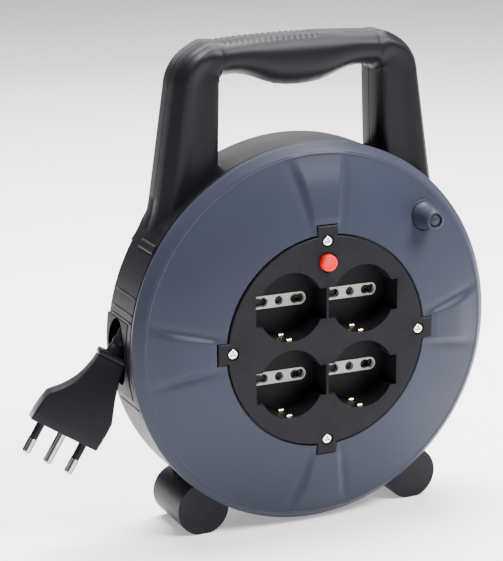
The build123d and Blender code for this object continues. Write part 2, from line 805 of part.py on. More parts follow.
keep(turned([(1.9, 42.6), (13.0, 42.6), (13.0, 44.0), (1.9, 44.0)]), "spindle_washer")
group("spindle_screw", [screw(0, 0, 40.6, 4.0, 2.0, 1.7, 5.5, 1, "cross")])
group("rear_screw", [screw(0, 0, body_depth - knob_reach - 0.1, 4.0, 2.0, 1.7, 11.0, -1, "cross")])


# ---- lead, from the winding out through the guide to the plug ----------------------------------
plug_lean = 31.8         # the plug hangs this far from straight down
plug_twist = 13.0        # and is turned this far towards the front
lean = math.radians(plug_lean)
twist = math.radians(plug_twist)
up_cord = Vector(math.sin(lean), 0, math.cos(lean))
across = Vector(math.cos(lean) * math.cos(twist), -math.sin(twist), -math.sin(lean) * math.cos(twist))
plug_origin = Vector(*place(-141.3, cable_y, -44.0))
plug_plane = Plane(origin=plug_origin, x_dir=across, z_dir=across.cross(up_cord))


def plug_point(u, v, w=0):
    return plug_plane.from_local_coords((u, v, w))


neck = plug_point(4.2, 50.0)
lead_route = [place(x, cable_y, z) for x, z in (
    on_circle(winding_r1 + cable_d / 2 + 0.9, 129),
    on_circle(winding_r1 + cable_d / 2 + 1.7, 143),
    on_circle(winding_r1 + cable_d / 2 + 2.5, 157),
    (-98.4, 16.5),
)] + [tuple(neck)]


def corner_radii(route):
    """As large an arc at each corner as its two runs allow."""
    points = [Vector(*point) for point in route]
    radii = []
    for before, corner, after in zip(points, points[1:], points[2:]):
        turn = (corner - before).get_angle(after - corner)
        shorter = min((corner - before).length, (after - corner).length)
        radii.append(0.45 * shorter / math.tan(math.radians(turn) / 2))
    return radii


radii = corner_radii(lead_route)
with BuildPart() as cable_lead:
    with BuildLine():
        lead_path = FilletPolyline(*lead_route, radius=radii)
    with BuildSketch(Plane(origin=lead_path @ 0, z_dir=lead_path % 0)):
        Circle(cable_d / 2)
    sweep()
keep(cable_lead, "cable_lead")
print("lead radii", [round(r, 1) for r in radii], "length", round(lead_path.length, 1))
tube_volume = math.pi * cable_d ** 2 / 4 * lead_path.length
print("lead volume / (section x length)", round(cable_lead.part.volume / tube_volume, 5))
layer_radii = [winding_r0 + cable_d * (layer + 0.5) for layer in range(layers)]
print("winding length", round(sum(2 * math.pi * r * turns_across for r in layer_radii)))


# ---- plug ---------------------------------------------------------------------------------------
plug_t = 14.0
with BuildPart() as plug_body:
    with BuildSketch(plug_plane.offset(-plug_t / 2)):
        with BuildLine():
            Line((-20.3, 0), (20.3, 0))
            Line((20.3, 0), (20.8, 17))
            Spline((20.8, 17), (15.2, 30), (12.0, 48), tangents=[(-0.3, 1), (-0.05, 1)])
            Line((12.0, 48), (-3.6, 48))
            Spline((-3.6, 48), (-8.6, 29), (-18.6, 17), tangents=[(-0.1, -1), (-1, -0.5)])
            Line((-18.6, 17), (-20.3, 0))
        make_face()
    extrude(amount=plug_t)
    chamfer(plug_body.edges().filter_by(lambda e: abs(e.tangent_at(0.5).dot(plug_plane.z_dir)) < 0.05 and
                                        plug_plane.to_local_coords(e @ 0.5).Y > 1), 1.6)
    # collar at the cable end
    with BuildSketch(Plane(origin=plug_point(4.2, 48), x_dir=across, z_dir=up_cord)):
        RectangleRounded(17.4, 11.0, 2.0)
    extrude(amount=2.6)
    # the cable's socket in the collar
    with BuildSketch(Plane(origin=neck, z_dir=lead_path % 1)):
        Circle(cable_d / 2)
    extrude(amount=-3, mode=Mode.SUBTRACT)
keep(plug_body, "plug_body")

sleeve_l = 10.0          # sleeves at the roots of the outer two pins
sleeve_in = 0.6
for name, u in (("live", -pin_spacing), ("earth", 0.0), ("neutral", pin_spacing)):
    bare = name == "earth"
    with BuildPart() as pin:
        with BuildSketch(Plane(origin=plug_point(u, 0), x_dir=across, z_dir=-up_cord)):
            Circle(pin_r if bare else pin_r - sleeve_in)
        extrude(amount=pin_length)
        if not bare:
            with BuildSketch(Plane(origin=plug_point(u, -sleeve_l), x_dir=across, z_dir=-up_cord)):
                Circle(pin_r)
            extrude(amount=pin_length - sleeve_l)
        tip = plug_point(u, -pin_length)
        fillet(pin.edges().filter_by(GeomType.CIRCLE).sort_by_distance(tip)[0], 1.4)
    keep(pin, "plug_pin_" + name)

with BuildPart() as pin_sleeves:
    for u in (-pin_spacing, pin_spacing):
        with BuildSketch(Plane(origin=plug_point(u, 0), x_dir=across, z_dir=-up_cord)):
            Circle(pin_r - 0.25)
            Circle(pin_r - sleeve_in, mode=Mode.SUBTRACT)
        extrude(amount=sleeve_l)
keep(pin_sleeves, "pin_sleeves")
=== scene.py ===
import json
import math

import bmesh
import bpy
from mathutils import Matrix, Vector


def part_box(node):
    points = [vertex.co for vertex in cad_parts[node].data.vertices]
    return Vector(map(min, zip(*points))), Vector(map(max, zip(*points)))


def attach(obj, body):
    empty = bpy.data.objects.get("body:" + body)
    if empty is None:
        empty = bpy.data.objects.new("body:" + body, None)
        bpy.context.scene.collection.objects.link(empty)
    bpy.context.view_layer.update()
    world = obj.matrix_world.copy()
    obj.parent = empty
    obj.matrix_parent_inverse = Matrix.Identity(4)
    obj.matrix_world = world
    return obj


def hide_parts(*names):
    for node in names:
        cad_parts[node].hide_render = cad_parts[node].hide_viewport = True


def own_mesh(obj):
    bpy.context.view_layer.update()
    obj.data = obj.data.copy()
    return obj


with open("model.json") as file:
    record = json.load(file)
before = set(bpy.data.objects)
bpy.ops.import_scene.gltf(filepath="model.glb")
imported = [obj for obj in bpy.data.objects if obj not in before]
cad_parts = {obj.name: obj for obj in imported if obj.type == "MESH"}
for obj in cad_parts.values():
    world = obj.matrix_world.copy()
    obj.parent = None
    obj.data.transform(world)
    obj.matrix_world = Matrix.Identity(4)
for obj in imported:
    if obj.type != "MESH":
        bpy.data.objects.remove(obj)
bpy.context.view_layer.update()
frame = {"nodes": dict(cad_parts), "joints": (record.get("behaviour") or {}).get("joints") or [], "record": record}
nodes = frame["nodes"]

# ---- driving places, from the frame -----------------------------------------------------------
MM = 0.001
plate_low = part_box("socket_plate")[0]
drum_joint = next(j for j in frame["joints"] if j["name"] == "drum_spin")
knob_joint = next(j for j in frame["joints"] if j["name"] == "knob_spin")
PLATE_Y = plate_low.y
AXIS_Z = drum_joint["pos_m"][2]
FLOOR_SIZE = 40.0


def place(x, depth, z):
    """A point in millimetres from the drum's axis and the socket plate's face, in the frame's metres."""
    return Vector((x * MM, PLATE_Y + depth * MM, AXIS_Z + z * MM))


def polar(radius, degrees):
    return radius * math.cos(math.radians(degrees)), radius * math.sin(math.radians(degrees))


# ---- materials ------------------------------------------------------------------------------
class Look:
    """A Principled material with helpers for its procedural colour, roughness and bump."""

    def __init__(self, name):
        self.material = bpy.data.materials.new(name)
        self.material.use_nodes = True
        self.tree = self.material.node_tree
        self.shader = self.tree.nodes["Principled BSDF"]
        self.coords = self.tree.nodes.new("ShaderNodeTexCoord").outputs["Object"]
        self.normal = None

    def node(self, kind, **settings):
        made = self.tree.nodes.new("ShaderNode" + kind)
        for key, value in settings.items():
            if key in made.inputs:
                made.inputs[key].default_value = value
            else:
                setattr(made, key, value)
        return made

    def link(self, out, into):
        self.tree.links.new(out, into)

    def noise(self, scale, detail=3.0, rough=0.5, stretch=None):
        made = self.node("TexNoise", Scale=scale, Detail=detail, Roughness=rough)
        if stretch:
            mapping = self.node("Mapping")
            mapping.inputs["Scale"].default_value = stretch
            self.link(self.coords, mapping.inputs["Vector"])
            self.link(mapping.outputs["Vector"], made.inputs["Vector"])
        else:
            self.link(self.coords, made.inputs["Vector"])
        return made.outputs["Fac"]

    def ramp(self, source, stops):
        made = self.node("ValToRGB")
        ramp = made.color_ramp
        while len(ramp.elements) < len(stops):
            ramp.elements.new(0.5)
        for element, (at, colour) in zip(ramp.elements, stops):
            element.position = at
            element.color = (*colour, 1.0) if len(colour) == 3 else colour
        self.link(source, made.inputs["Fac"])
        return made.outputs["Color"]

    def mix(self, factor, first, second):
        made = self.node("Mix", data_type="RGBA")
        for value, socket in ((factor, made.inputs[0]), (first, made.inputs[6]), (second, made.inputs[7])):
            if isinstance(value, (int, float)):
                socket.default_value = value
            elif isinstance(value, tuple):
                socket.default_value = (*value, 1.0)
            else:
                self.link(value, socket)
        return made.outputs[2]

    def bump(self, height, strength, distance):
        made = self.node("Bump", Strength=strength, Distance=distance)
        self.link(height, made.inputs["Height"])
        if self.normal:
            self.link(self.normal, made.inputs["Normal"])
        self.normal = made.outputs["Normal"]
        self.link(self.normal, self.shader.inputs["Normal"])

    def range(self, source, low, high):
        made = self.node("MapRange")
        made.inputs["To Min"].default_value = low
        made.inputs["To Max"].default_value = high
        self.link(source, made.inputs["Value"])
        return made.outputs["Result"]


def scaled(colour, k):
    return tuple(c * k for c in colour)


def plastic(name, colour, rough, grain=1600.0, grain_depth=0.00003, specular=0.09, worn=None, wear=0.25):
    """Moulded plastic: spark-eroded grain, slight flow marks, and paler rubbed edges."""
    look = Look(name)
    flow = look.noise(14.0, 4.0, 0.6)
    tint = look.ramp(flow, [(0.3, scaled(colour, 0.9)), (0.7, scaled(colour, 1.1))])
    specks = look.noise(2600.0, 2.0, 0.6)
    tint = look.mix(look.range(specks, 0.0, 0.14), tint, scaled(colour, 1.6))
    edge = look.node("NewGeometry").outputs["Pointiness"]
    rub = look.ramp(edge, [(0.515, (0, 0, 0)), (0.56, (1, 1, 1))])
    patchy = look.noise(160.0, 4.0, 0.65)
    amount = look.node("Math", operation="MULTIPLY")
    look.link(rub, amount.inputs[0])
    look.link(look.range(patchy, 0.0, wear), amount.inputs[1])
    tint = look.mix(amount.outputs[0], tint, worn or scaled(colour, 2.2))
    look.link(tint, look.shader.inputs["Base Color"])
    roughness = look.range(look.noise(45.0, 5.0, 0.6), rough - 0.06, rough + 0.07)
    look.link(roughness, look.shader.inputs["Roughness"])
    look.shader.inputs["Specular IOR Level"].default_value = specular
    look.bump(look.noise(grain, 2.0, 0.5), 0.35, grain_depth)
    look.bump(look.noise(60.0, 2.0, 0.5), 0.08, 0.0004)
    return look.material


def metal(name, colour, rough, stretch=(1.0, 1.0, 1.0), lines=0.3):
    """Plated or rolled metal with fine lines, dulled in patches, with painted shade in its recesses."""
    look = Look(name)
    patches = look.noise(220.0, 4.0, 0.6)
    tint = look.ramp(patches, [(0.3, scaled(colour, 0.78)), (0.7, colour)])
    # painted shade: an ambient occlusion mask darkens the recesses towards a near-black copy of the colour,
    # standing in for their shadow
    recess_shade_ao = look.node("AmbientOcclusion", Distance=0.0012, samples=8)
    unshaded_share = look.ramp(recess_shade_ao.outputs["AO"], [(0.45, (0, 0, 0)), (0.85, (1, 1, 1))])
    look.link(look.mix(unshaded_share, scaled(colour, 0.06), tint), look.shader.inputs["Base Color"])
    look.shader.inputs["Metallic"].default_value = 1.0
    roughness = look.range(look.noise(900.0, 3.0, 0.6), rough - 0.07, rough + 0.1)
    look.link(roughness, look.shader.inputs["Roughness"])
    look.bump(look.noise(1800.0, 2.0, 0.5, stretch), lines, 0.00002)
    return look.material


BLACK = (0.0058, 0.0056, 0.0080)
SLATE = (0.0240, 0.0266, 0.0420)
looks = {
    "casing_black": plastic("casing_black", BLACK, 0.42, specular=0.13, worn=(0.03, 0.03, 0.034)),
    "guide_black": plastic("guide_black", scaled(BLACK, 0.85), 0.48),
    "disc_blue": plastic("disc_blue", SLATE, 0.40, grain=1300.0, specular=0.13, worn=(0.09, 0.105, 0.14),
                         wear=0.3),
    "hub_black": plastic("hub_black", (0.006, 0.006, 0.007), 0.5),
    "plate_black": plastic("plate_black", (0.0048, 0.0046, 0.0064), 0.44, grain=1900.0,
                           worn=(0.03, 0.03, 0.034)),
    "insert_grey": plastic("insert_grey", (0.46, 0.46, 0.45), 0.4, worn=(0.7, 0.7, 0.68)),
    "shutter_dark": plastic("shutter_dark", (0.03, 0.03, 0.032), 0.5),
    "reset_red": plastic("reset_red", (0.62, 0.007, 0.003), 0.34, grain=700.0, grain_depth=0.00001,
                         specular=0.2, worn=(0.7, 0.04, 0.02)),
    "cutout_body": plastic("cutout_body", (0.008, 0.008, 0.008), 0.3),
    "spindle_grey": plastic("spindle_grey", (0.2, 0.2, 0.2), 0.4),
    "cable_black": plastic("cable_black", (0.006, 0.006, 0.008), 0.38, grain=900.0),
    "plug_black": plastic("plug_black", (0.0065, 0.0065, 0.0085), 0.36, grain=620.0, grain_depth=0.00018,
                          worn=(0.03, 0.03, 0.034)),
    "zinc_steel": metal("zinc_steel", (0.8, 0.8, 0.79), 0.2, lines=0.1),
    "contact_brass": metal("contact_brass", (0.86, 0.66, 0.36), 0.24, (1.0, 6.0, 1.0)),
    "pin_nickel": metal("pin_nickel", (0.42, 0.415, 0.40), 0.17, lines=0.06),
    "core_brown": plastic("core_brown", (0.2, 0.07, 0.03), 0.4),
    "core_blue": plastic("core_blue", (0.03, 0.12, 0.45), 0.4),
    "core_green": plastic("core_green", (0.1, 0.4, 0.08), 0.4),
}
looks["knob_blue"] = plastic("knob_blue", scaled(SLATE, 0.86), 0.40, grain=1300.0, specular=0.13,
                             worn=(0.09, 0.105, 0.14), wear=0.3)

slot_of = {part["node"]: part["material_slot"] for part in frame["record"]["subparts"]}
for name, node in nodes.items():
    node.data.materials.clear()
    node.data.materials.append(looks[slot_of[name]])


# ---- mesh helpers ---------------------------------------------------------------------------
def smooth_by_angle(piece, degrees=35.0):
    """Smooth shading with the edges sharper than this left crisp."""
    limit = math.radians(degrees)
    made = bmesh.new()
    made.from_mesh(piece.data)
    for face in made.faces:
        face.smooth = True
    for edge in made.edges:
        edge.smooth = len(edge.link_faces) == 2 and edge.calc_face_angle(0.0) < limit
    made.to_mesh(piece.data)
    made.free()


def piece_from(name, points, faces, body, slot, replaces=(), sharp=35.0):
    """A mesh piece from points in metres, on a body, with the look of a material slot."""
    mesh = bpy.data.meshes.new(name)
    mesh.from_pydata([tuple(p) for p in points], [], faces)
    made = bmesh.new()
    made.from_mesh(mesh)
    bmesh.ops.remove_doubles(made, verts=made.verts, dist=1e-7)
    bmesh.ops.recalc_face_normals(made, faces=made.faces)
    made.to_mesh(mesh)
    made.free()
    piece = bpy.data.objects.new(name, mesh)
    bpy.context.scene.collection.objects.link(piece)
    mesh.materials.append(looks[slot])
    smooth_by_angle(piece, sharp)
    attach(piece, body)
    if replaces:
        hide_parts(*replaces)
    return piece


def grid_faces(columns, rows, wrap_columns=True, wrap_rows=False):
    """Quads between neighbouring columns of points, each column rows long."""
    faces = []
    for i in range(columns if wrap_columns else columns - 1):
        for j in range(rows if wrap_rows else rows - 1):
            a, b = i * rows, ((i + 1) % columns) * rows
            k = (j + 1) % rows
            faces.append((a + j, a + k, b + k, b + j))
    return faces


def rounded(profile, radius, steps=4):
    """The closed outline with each corner rounded by a short curve."""
    result = []
    count = len(profile)
    for i in range(count):
        corner = Vector(profile[i])
        before, after = Vector(profile[i - 1]), Vector(profile[(i + 1) % count])
        size = radius[i] if isinstance(radius, (list, tuple)) else radius
        into, out = (before - corner), (after - corner)
        reach = min(size, into.length * 0.45, out.length * 0.45)
        if reach < 1e-6:
            result.append(tuple(corner))
            continue
        start, end = corner + into.normalized() * reach, corner + out.normalized() * reach
        for step in range(steps + 1):
            t = step / steps
            result.append(tuple(start * (1 - t) ** 2 + corner * 2 * t * (1 - t) + end * t ** 2))
    return result


def lathe(name, profile, centre, body, slot, replaces=(), segments=128, sharp=35.0):
    """A turned piece about a line along Y: profile is a closed radius/depth outline in millimetres."""
    points = []
    for i in range(segments):
        turn = 2 * math.pi * i / segments
        for radius, depth in profile:
            points.append(place(centre[0] + radius * math.cos(turn), depth, centre[1] + radius * math.sin(turn)))
    return piece_from(name, points, grid_faces(segments, len(profile), True, True), body, slot, replaces, sharp)


def cut(piece, tool):
    """Cut the tool's shape out of the piece, and remove the tool."""
    subtract = piece.modifiers.new("cut", "BOOLEAN")
    subtract.operation = "DIFFERENCE"
    subtract.solver = "EXACT"
    subtract.object = tool
    bpy.context.view_layer.update()
    made = bpy.data.meshes.new_from_object(piece.evaluated_get(bpy.context.evaluated_depsgraph_get()))
    piece.modifiers.clear()
    piece.data = made
    bpy.data.objects.remove(tool)


# ---- camera, light and floor -------------------------------------------------------------------
def camera():
    """The photograph's view: from the left and above, a long lens."""
    at = place(-463.1, -923.4, 314.6)
    aim = place(0, 0, 0) + Vector((0.896, -0.444, 0.016)) * -0.0415 + Vector((0.115, 0.268, 0.956)) * 0.034
    data = bpy.data.cameras.new("camera")
    data.lens = 125.9
    data.sensor_width = 36.0
    data.clip_end = 20.0
    made = bpy.data.objects.new("camera", data)
    bpy.context.scene.collection.objects.link(made)
    roll = Matrix.Rotation(math.radians(-0.4), 4, "Z")
    made.matrix_world = Matrix.Translation(at) @ (aim - at).to_track_quat("-Z", "Y").to_matrix().to_4x4() @ roll
    bpy.context.scene.camera = made


def softbox(name, at, aim, size, power, colour=(1.0, 1.0, 1.0)):
    data = bpy.data.lights.new(name, "AREA")
    data.shape = "RECTANGLE"
    data.size, data.size_y = size
    data.energy = power
    data.color = colour
    made = bpy.data.objects.new(name, data)
    bpy.context.scene.collection.objects.link(made)
    made.location = at
    made.rotation_euler = (Vector(aim) - Vector(at)).to_track_quat("-Z", "Y").to_euler()


def studio():
    centre = place(0, 0, 0)
    softbox("key", (0.65, -0.75, 1.35), centre, (0.7, 0.7), 60.0)
    softbox("top", (0.1, 0.35, 1.4), centre, (1.2, 0.8), 100.0)
    softbox("back", (0.35, 1.35, 0.75), centre, (1.4, 0.5), 7.0)
    softbox("left", (-1.5, -0.4, 0.5), centre, (0.5, 1.2), 1.5)
    softbox("right", (1.3, 0.2, 0.6), centre, (0.5, 1.2), 3.0)
    world = bpy.data.worlds.new("studio")
    bpy.context.scene.world = world
    world.use_nodes = True
    background = world.node_tree.nodes["Background"]
    background.inputs["Color"].default_value = (0.93, 0.94, 0.96, 1.0)
    background.inputs["Strength"].default_value = 0.12
    mesh = bpy.data.meshes.new("floor")
    half = FLOOR_SIZE / 2
    mesh.from_pydata([(-half, -half, 0), (half, -half, 0), (half, half, 0), (-half, half, 0)], [], [(0, 1, 2, 3)])
    floor = bpy.data.objects.new("floor", mesh)
    bpy.context.scene.collection.objects.link(floor)
    look = Look("floor_paper")
    tone = look.ramp(look.noise(3.0, 2.0, 0.5), [(0.4, (0.86, 0.86, 0.87)), (0.6, (0.9, 0.9, 0.9))])
    look.link(tone, look.shader.inputs["Base Color"])
    look.shader.inputs["Roughness"].default_value = 0.9
    look.shader.inputs["Emission Color"].default_value = (1.0, 1.0, 1.0, 1.0)
    look.shader.inputs["Emission Strength"].default_value = 0.4
    mesh.materials.append(look.material)


# ---- cable ----------------------------------------------------------------------------------
CABLE_D = 6.8
HUB_R = 64.2
WINDING_FRONT = 15.9
TURNS_ACROSS = 5
LAYERS = 4
POINTS_PER_TURN = 16
OUTER_R = HUB_R + LAYERS * CABLE_D


def spline(name, points, bevel, body, slot):
    """A NURBS curve of order 3 that ends at its first and last points."""
    data = bpy.data.curves.new(name, "CURVE")
    data.dimensions = "3D"
    line = data.splines.new("NURBS")
    line.points.add(len(points) - 1)
    for target, point in zip(line.points, points):
        target.co = (*point, 1.0)
    line.order_u = 3
    line.use_endpoint_u = True
    line.resolution_u = 6
    data.bevel_depth = bevel
    data.bevel_resolution = 6
    data.use_fill_caps = True
    made = bpy.data.objects.new(name, data)
    bpy.context.scene.collection.objects.link(made)
    data.materials.append(looks[slot])
    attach(made, body)
    return made


def winding():
    """Twenty turns on the barrel: five side by side, four layers deep, each turn stepping over at its end."""
    step_share = 0.18
    # the control points stand this far outside the line that they draw
    spread = 1 / (0.75 + 0.25 * math.cos(2 * math.pi / POINTS_PER_TURN))
    points = []
    total = TURNS_ACROSS * LAYERS * POINTS_PER_TURN
    for i in range(total + 1):
        turn = min(i / POINTS_PER_TURN, TURNS_ACROSS * LAYERS - 1e-6)
        whole = int(turn)
        layer, across = divmod(whole, TURNS_ACROSS)
        slip = max(0.0, (turn - whole - 1 + step_share) / step_share)
        outward = slip if across == TURNS_ACROSS - 1 and layer < LAYERS - 1 else 0.0
        sideways = slip if across < TURNS_ACROSS - 1 else 0.0
        row = across + sideways
        if layer % 2 == 0:
            row = TURNS_ACROSS - 1 - row
        radius = (HUB_R + CABLE_D * (layer + 0.5 + outward)) * spread
        x, z = polar(radius, -90 + 360 * i / POINTS_PER_TURN)
        points.append(place(x, WINDING_FRONT + CABLE_D * (row + 0.5), z))
    coil = spline("wound_cable", points, CABLE_D / 2 * MM, "drum", "cable_black")
    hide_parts("cable_winding")


CABLE_Y = 39.5
PLUG_LEAN = math.radians(31.8)
PLUG_TWIST = math.radians(13.0)
PLUG_UP = Vector((math.sin(PLUG_LEAN), 0, math.cos(PLUG_LEAN)))
PLUG_ACROSS = Vector((math.cos(PLUG_LEAN) * math.cos(PLUG_TWIST), -math.sin(PLUG_TWIST),
                      -math.sin(PLUG_LEAN) * math.cos(PLUG_TWIST)))
PLUG_OUT = PLUG_ACROSS.cross(PLUG_UP)
PLUG_BASE = place(-141.3, CABLE_Y, -44.0)


def plug_point(u, v, w=0.0):
    """A point of the plug: u along the row of pins, v towards the cable, w through its thickness."""
    return PLUG_BASE + (PLUG_ACROSS * u + PLUG_UP * v + PLUG_OUT * w) * MM


def plug():
    """Moulded flat plug: flared body with soft edges, waisted towards the cable, and a collar."""
    left = [(-20.3, 0.0), (-20.0, 5.0), (-19.4, 11.0), (-18.3, 16.6), (-16.0, 19.2), (-12.9, 22.4), (-10.0, 26.4),
            (-7.4, 31.0), (-5.6, 36.0), (-4.4, 41.5), (-3.7, 47.0)]
    right = [(20.3, 0.0), (20.5, 5.0), (20.8, 11.0), (20.7, 16.6), (19.2, 20.6), (17.6, 24.8), (16.0, 29.2),
             (14.6, 34.0), (13.4, 39.0), (12.5, 43.5), (12.1, 47.0)]
    half_t = [6.4, 7.0, 7.0, 7.0, 7.0, 6.9, 6.7, 6.4, 6.0, 5.6, 5.3]
    soft = 0.9
    columns = []
    for (lu, v), (ru, rv), half in zip(left, right, half_t):
        ring = rounded([(lu, -half), (ru, -half), (ru, half), (lu, half)], soft * 1.4, 5)
        middle = (lu + ru) / 2
        for u, w in ring:
            share = (u - lu) / (ru - lu)
            # the broad faces are very slightly crowned
            crown = 0.35 * (1 - ((u - middle) / (ru - middle)) ** 2) * (1 if w > 0 else -1)
            columns.append((u, v + (rv - v) * share, w + (crown if abs(w) > half * 0.98 else 0.0)))
    per = len(columns) // len(left)
    points = [plug_point(*c) for c in columns]
    faces = grid_faces(len(left), per, False, True)
    base_rim = [plug_point(u * 0.985, v - 0.4, w * 0.95) for u, v, w in columns[:per]]
    start = len(points)
    points += base_rim
    faces += [(j, (j + 1) % per, start + (j + 1) % per, start + j) for j in range(per)]
    faces.append(tuple(range(start, start + per)))
    faces.append(tuple(range((len(left) - 1) * per, len(left) * per)))
    body = piece_from("plug_moulding", points, faces, "housing", "plug_black", ("plug_body",), 50.0)
    collar_ring = rounded([(-8.7, -5.5), (8.7, -5.5), (8.7, 5.5), (-8.7, 5.5)], 2.2, 5)
    levels = [(46.6, 0.78), (47.7, 0.95), (48.2, 1.0), (50.2, 1.0), (50.7, 0.95), (50.9, 0.7)]
    points = [plug_point(4.2 + u * k, v, w * k) for v, k in levels for u, w in collar_ring]
    per = len(collar_ring)
    faces = grid_faces(len(levels), per, False, True)
    faces += [tuple(range(per)), tuple(range((len(levels) - 1) * per, len(levels) * per))]
    collar = piece_from("plug_collar", points, faces, "housing", "plug_black", (), 50.0)
    return body, collar


def strain_relief():
    """Tapered sleeve moulded on the cable from the plug's collar."""
    start, along = plug_point(4.2, 50.0), (lead_points()[-2] - plug_point(4.2, 50.0)).normalized()
    side = along.orthogonal().normalized()
    other = along.cross(side)
    points = []
    profile = [(0.0, 4.9), (1.0, 4.8), (5.0, 4.45), (5.4, 4.1), (6.8, 4.1), (7.2, 4.3), (11.0, 4.1), (11.4, 3.8),
               (12.8, 3.8), (13.2, 3.95), (17.0, 3.8), (20.5, 3.65), (21.0, 3.42)]
    around = 32
    for run, radius in profile:
        for i in range(around):
            turn = 2 * math.pi * i / around
            points.append(start + (along * run + (side * math.cos(turn) + other * math.sin(turn)) * radius) * MM)
    faces = grid_faces(len(profile), around, False, True)
    faces += [tuple(range(around)), tuple(range((len(profile) - 1) * around, len(profile) * around))]
    return piece_from("strain_relief", points, faces, "housing", "plug_black", (), 50.0)


def lead_points():
    route = [polar(OUTER_R + CABLE_D / 2 + 0.9, 129), polar(OUTER_R + CABLE_D / 2 + 1.7, 143),
             polar(OUTER_R + CABLE_D / 2 + 2.5, 157), (-98.4, 16.5)]
    return [place(x, CABLE_Y, z) for x, z in route] + [plug_point(4.2, 50.0)]


def lead():
    points = lead_points()
    made = spline("lead_cable", points, CABLE_D / 2 * MM, "housing", "cable_black")
    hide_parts("cable_lead")
    moulding, collar = plug()
    relief = strain_relief()


# ---- front disc --------------------------------------------------------------------------------
TAB_HALF = 11.9 / 2 + 0.3
TAB_REACH = 65.2 + 0.3
SEAT_R = 60.2
KNOB = (knob_joint["pos_m"][0] / MM, (knob_joint["pos_m"][2] - AXIS_Z) / MM)


def smooth_step(value, low, high):
    t = min(1.0, max(0.0, (value - low) / (high - low)))
    return t * t * (3 - 2 * t)


def dome_depth(x, z):
    """Depth of the disc's face: a shallow cone with four raised fans that widen outwards."""
    radius = math.hypot(x, z)
    t = (radius - 60.2) / (103.0 - 60.2)
    depth = 0.4 + 9.1 * t + 3.2 * t * t
    quarter = math.atan2(z, x) % (math.pi / 2)
    if quarter > math.pi / 4:
        quarter -= math.pi / 2
    along, aside = radius * math.cos(quarter), abs(radius * math.sin(quarter))
    reach = min(1.0, max(0.0, (along - 64.0) / 40.0))
    half = 6.4 + 5.4 * reach + 2.6 * reach ** 3
    swell = math.sin(math.pi * min(1.0, 0.1 + reach * 0.9)) ** 0.8
    rise = 2.0 * swell * (1 - 0.65 * smooth_step(reach, 0.55, 1.0))
    flank = 3.2 + 2.4 * reach
    lift = rise * (1 - smooth_step(aside, half, half + flank) ** 0.75)
    hollow = 0.35 * rise * math.exp(-((aside - half - flank) / 2.6) ** 2)
    return depth - lift * smooth_step(along, 61.5, 70.0) + hollow


# fine bead where the dome meets the shoulder: radius, and how far it stands proud
BEAD = ((102.2, 0.02), (102.5, 0.1), (102.75, 0.24), (102.95, 0.3), (103.15, 0.24), (103.4, 0.02))
DOME_OUT_R = 101.8
# radius and depth from the shoulder round the rim to the back of the disc
SHOULDER_AND_RIM = ((103.7, 12.85), (104.3, 13.25), (105.2, 14.05), (106.6, 15.5), (107.7, 16.6), (108.2, 17.15),
                    (108.47, 17.7), (108.5, 18.6), (108.48, 19.5), (108.2, 19.85), (107.6, 19.9), (106.5, 19.9),
                    (106.2, 19.6), (106.1, 18.4), (102.6, 15.2), (93.0, 11.0), (82.6, 7.9), (68.5, 5.2),
                    (54.0, 5.2), (54.0, 3.0))
# the inner edge is rounded over: share of the way out, and how far it lies below the dome
INNER_EDGE = ((0.0, 0.7), (0.006, 0.2), (0.014, 0.0))


def disc_outline():
    """Inner edge of the disc: a circle with four square pockets for the plate's tabs."""
    points = []
    bite = math.degrees(math.asin(TAB_HALF / SEAT_R))
    for quarter in range(4):
        turn = math.radians(90 * quarter)
        inner_x = math.sqrt(SEAT_R ** 2 - TAB_HALF ** 2)
        pocket = [(inner_x + (TAB_REACH - inner_x) * s / 6, -TAB_HALF) for s in range(7)]
        pocket += [(TAB_REACH, -TAB_HALF + 2 * TAB_HALF * s / 16) for s in range(1, 17)]
        pocket += [(TAB_REACH + (inner_x - TAB_REACH) * s / 6, TAB_HALF) for s in range(1, 7)]
        for px, pz in pocket:
            points.append((px * math.cos(turn) - pz * math.sin(turn), px * math.sin(turn) + pz * math.cos(turn)))
        arc_steps = 150
        for s in range(1, arc_steps):
            points.append(polar(SEAT_R, 90 * quarter + bite + (90 - 2 * bite) * s / arc_steps))
    return points


def front_disc():
    """The domed disc: inner lip, cone with fans, shoulder, narrow rim band and turned-in back edge."""
    outline = disc_outline()
    steps_out = 72
    points = []
    for x, z in outline:
        angle = math.atan2(z, x)
        ca, sa = math.cos(angle), math.sin(angle)
        inner, outer = Vector((x, z)), Vector((DOME_OUT_R * ca, DOME_OUT_R * sa))
        column = [(inner.x, 3.0, inner.y)]
        for share, below in INNER_EDGE:
            p = inner.lerp(outer, share)
            column.append((p.x, dome_depth(p.x, p.y) + below, p.y))
        for step in range(1, steps_out + 1):
            t = step / steps_out
            p = inner.lerp(outer, t * (1 - 0.12 * (1 - t)))
            column.append((p.x, dome_depth(p.x, p.y), p.y))
        for radius, proud in BEAD:
            column.append((radius * ca, dome_depth(radius * ca, radius * sa) - proud, radius * sa))
        column += [(radius * ca, depth, radius * sa) for radius, depth in SHOULDER_AND_RIM]
        points += [place(px, d, pz) for px, d, pz in column]
    rows = len(points) // len(outline)
    faces = grid_faces(len(outline), rows, True, True)
    disc = piece_from("disc_shell", points, faces, "drum", "disc_blue", ("front_disc",), 40.0)
    # round recess in which the knob's base turns
    cutter = lathe("knob_recess_cutter", [(0.0, -2.0), (8.4, -2.0), (8.4, 8.4), (0.0, 8.4)], KNOB, "drum",
                   "disc_blue", (), 96)
    cut(disc, cutter)
    smooth_by_angle(disc, 40.0)
    seat = rounded([(2.6, 8.4), (8.7, 8.4), (8.7, 10.6), (2.6, 10.6)], 0.3, 2)
    lathe("knob_seat", seat, KNOB, "drum", "disc_blue")


